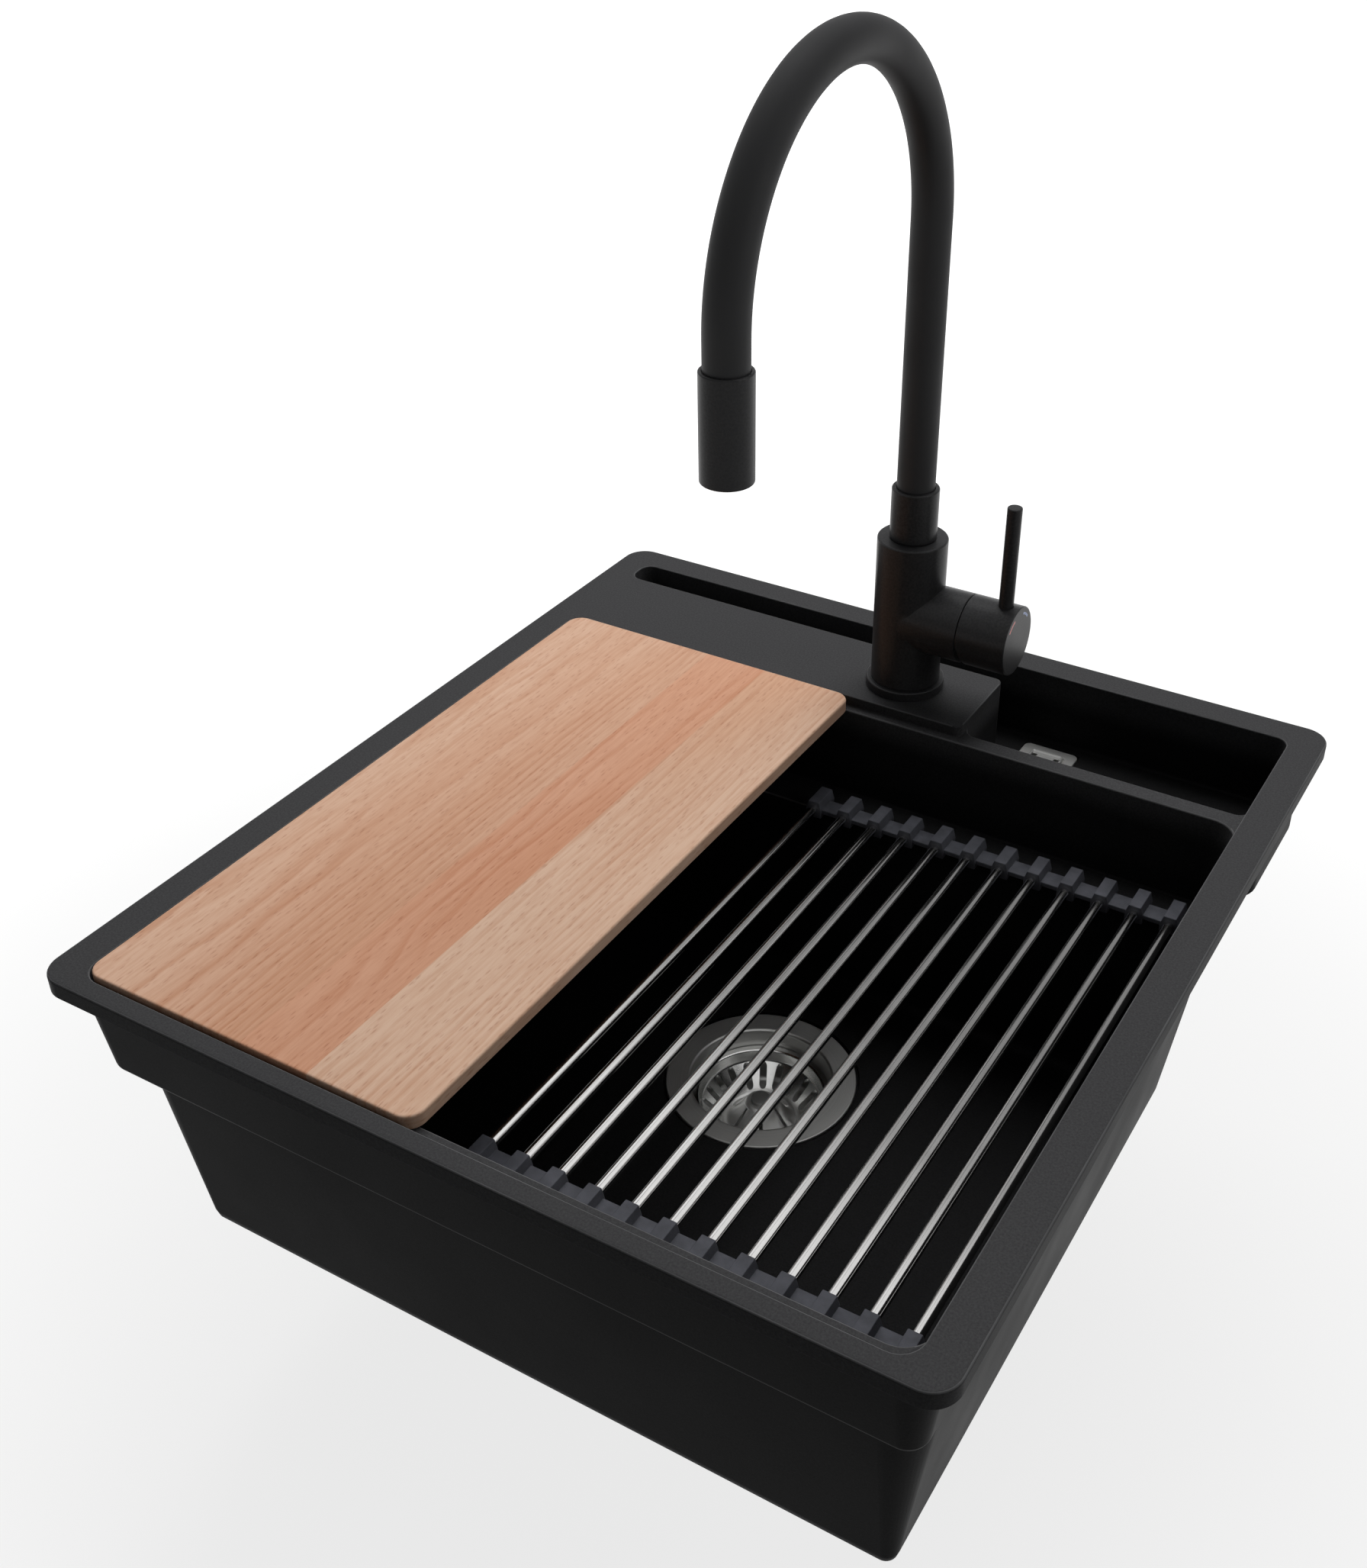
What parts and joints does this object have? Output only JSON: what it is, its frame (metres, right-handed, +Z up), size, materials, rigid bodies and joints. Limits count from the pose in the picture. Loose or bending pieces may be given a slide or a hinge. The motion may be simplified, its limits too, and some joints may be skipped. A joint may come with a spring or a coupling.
{
  "type": "workstation kitchen sink",
  "caption": "Top-mounted kitchen sink with a board ledge, sliding chopping board, roll-up drainer, basket strainer waste, side tray and a single-lever tap with a swivelling spout.",
  "frame": {"origin": "centre of the underside of the rim, on the worktop's surface", "axes": "+X right, +Y towards the rear, where the tap is, and +Z up"},
  "size_m": [0.5, 0.55, 0.7115],
  "materials": {
    "composite_black": "fine matte granite composite",
    "foam_grey": "closed-cell foam",
    "beech": "oiled",
    "rod_steel": "polished stainless steel",
    "grip_rubber": "matte",
    "flange_steel": "satin",
    "basket_steel": "polished stainless steel",
    "seal_rubber": "matte",
    "waste_plastic": "moulded",
    "tail_steel": "satin",
    "tap_black": "matte black coating",
    "brass": "turned",
    "cartridge_plastic": "moulded",
    "core_plastic": "moulded",
    "screw_steel": "blackened",
    "mark_enamel": "enamel, red towards the front and blue towards the rear",
    "hose_black": "matte silicone",
    "water_tube": "extruded",
    "aerator_grey": "moulded"
  },
  "bodies": {
    "sink": {"sink_body": "composite_black", "rim_seal": "foam_grey", "drain_flange": "flange_steel", "drain_top_seal": "seal_rubber", "drain_lower_seal": "seal_rubber", "drain_nut": "waste_plastic", "tailpiece": "tail_steel", "tailpiece_nut": "waste_plastic", "tray_drain_body": "composite_black", "tray_drain_seal": "seal_rubber", "tray_drain_nut": "waste_plastic", "tap_base_ring": "tap_black", "tap_body": "tap_black", "tap_shank": "brass", "tap_washer": "seal_rubber", "tap_nut": "brass", "inlet_plug": "brass", "inlet_nipples": "brass", "cartridge_housing": "cartridge_plastic", "cartridge_nut": "brass"},
    "board": {"cutting_board": "beech"},
    "slat_01": {"rack_rod_01": "rod_steel", "rack_grip_01": "grip_rubber"},
    "slat_02": {"rack_rod_02": "rod_steel", "rack_grip_02": "grip_rubber"},
    "slat_03": {"rack_rod_03": "rod_steel", "rack_grip_03": "grip_rubber"},
    "slat_04": {"rack_rod_04": "rod_steel", "rack_grip_04": "grip_rubber"},
    "slat_05": {"rack_rod_05": "rod_steel", "rack_grip_05": "grip_rubber"},
    "slat_06": {"rack_rod_06": "rod_steel", "rack_grip_06": "grip_rubber"},
    "slat_07": {"rack_rod_07": "rod_steel", "rack_grip_07": "grip_rubber"},
    "slat_08": {"rack_rod_08": "rod_steel", "rack_grip_08": "grip_rubber"},
    "slat_09": {"rack_rod_09": "rod_steel", "rack_grip_09": "grip_rubber"},
    "slat_10": {"rack_rod_10": "rod_steel", "rack_grip_10": "grip_rubber"},
    "slat_11": {"rack_rod_11": "rod_steel", "rack_grip_11": "grip_rubber"},
    "slat_12": {"rack_rod_12": "rod_steel", "rack_grip_12": "grip_rubber"},
    "basket": {"basket": "basket_steel", "basket_post": "basket_steel", "basket_stopper": "seal_rubber"},
    "tray_cover": {"tray_drain_cover": "composite_black"},
    "lever_core": {"cartridge_carrier": "core_plastic"},
    "lever": {"lever_stem": "tail_steel", "lever_cap": "tap_black", "lever_rod": "tap_black", "lever_screw": "screw_steel", "temperature_marks": "mark_enamel"},
    "spout": {"spout_collar": "tap_black", "hose_sleeve": "hose_black", "hose_tube": "water_tube", "nozzle_shell": "tap_black", "aerator": "aerator_grey"}
  },
  "joints": [
    {"name": "board_slide", "type": "slide", "parent": "sink", "child": "board", "axis": [1, 0, 0], "range_m": [0, 0.248]},
    {"name": "rack_slide", "type": "slide", "parent": "sink", "child": "slat_06", "axis": [-1, 0, 0], "range_m": [0, 0.19]},
    {"name": "rack_roll", "type": "hinge", "parent": "slat_06", "child": "slat_07", "pos_m": [0.0944, -0.04675, -0.047], "axis": [0, 1, 0], "range_deg": [-27.5, 0]},
    {"name": "roll_07", "type": "hinge", "parent": "slat_07", "child": "slat_08", "pos_m": [0.1152, -0.04675, -0.047], "axis": [0, 1, 0], "range_deg": [-27.5, 0]},
    {"name": "roll_08", "type": "hinge", "parent": "slat_08", "child": "slat_09", "pos_m": [0.136, -0.04675, -0.047], "axis": [0, 1, 0], "range_deg": [-27.5, 0]},
    {"name": "roll_09", "type": "hinge", "parent": "slat_09", "child": "slat_10", "pos_m": [0.1568, -0.04675, -0.047], "axis": [0, 1, 0], "range_deg": [-27.5, 0]},
    {"name": "roll_10", "type": "hinge", "parent": "slat_10", "child": "slat_11", "pos_m": [0.1776, -0.04675, -0.047], "axis": [0, 1, 0], "range_deg": [-27.5, 0]},
    {"name": "roll_11", "type": "hinge", "parent": "slat_11", "child": "slat_12", "pos_m": [0.1984, -0.04675, -0.047], "axis": [0, 1, 0], "range_deg": [-27.5, 0]},
    {"name": "roll_05", "type": "hinge", "parent": "slat_06", "child": "slat_05", "pos_m": [0.0736, -0.04675, -0.047], "axis": [0, -1, 0], "range_deg": [-27.5, 0]},
    {"name": "roll_04", "type": "hinge", "parent": "slat_05", "child": "slat_04", "pos_m": [0.0528, -0.04675, -0.047], "axis": [0, -1, 0], "range_deg": [-27.5, 0]},
    {"name": "roll_03", "type": "hinge", "parent": "slat_04", "child": "slat_03", "pos_m": [0.032, -0.04675, -0.047], "axis": [0, -1, 0], "range_deg": [-27.5, 0]},
    {"name": "roll_02", "type": "hinge", "parent": "slat_03", "child": "slat_02", "pos_m": [0.0112, -0.04675, -0.047], "axis": [0, -1, 0], "range_deg": [-27.5, 0]},
    {"name": "roll_01", "type": "hinge", "parent": "slat_02", "child": "slat_01", "pos_m": [-0.0096, -0.04675, -0.047], "axis": [0, -1, 0], "range_deg": [-27.5, 0]},
    {"name": "basket_lift", "type": "slide", "parent": "sink", "child": "basket", "axis": [0, 0, 1], "range_m": [0, 0.06]},
    {"name": "tray_cover_lift", "type": "slide", "parent": "sink", "child": "tray_cover", "axis": [0, 0, 1], "range_m": [0, 0.03]},
    {"name": "lever_turn", "type": "hinge", "parent": "sink", "child": "lever_core", "pos_m": [0.032, 0.2, 0.06], "axis": [1, 0, 0], "range_deg": [-45, 45]},
    {"name": "lever_tilt", "type": "hinge", "parent": "lever_core", "child": "lever", "pos_m": [0.032, 0.2, 0.06], "axis": [0, 1, 0], "range_deg": [0, 12]},
    {"name": "spout_swivel", "type": "hinge", "parent": "sink", "child": "spout", "pos_m": [0, 0.2, 0.12], "axis": [0, 0, 1], "continuous": true}
  ],
  "couplings": [
    {"joint": "roll_07", "follows": "rack_roll", "ratio": 1},
    {"joint": "roll_08", "follows": "rack_roll", "ratio": 1},
    {"joint": "roll_09", "follows": "rack_roll", "ratio": 1},
    {"joint": "roll_10", "follows": "rack_roll", "ratio": 1},
    {"joint": "roll_11", "follows": "rack_roll", "ratio": 1},
    {"joint": "roll_05", "follows": "rack_roll", "ratio": 1},
    {"joint": "roll_04", "follows": "rack_roll", "ratio": 1},
    {"joint": "roll_03", "follows": "rack_roll", "ratio": 1},
    {"joint": "roll_02", "follows": "rack_roll", "ratio": 1},
    {"joint": "roll_01", "follows": "rack_roll", "ratio": 1}
  ]
}
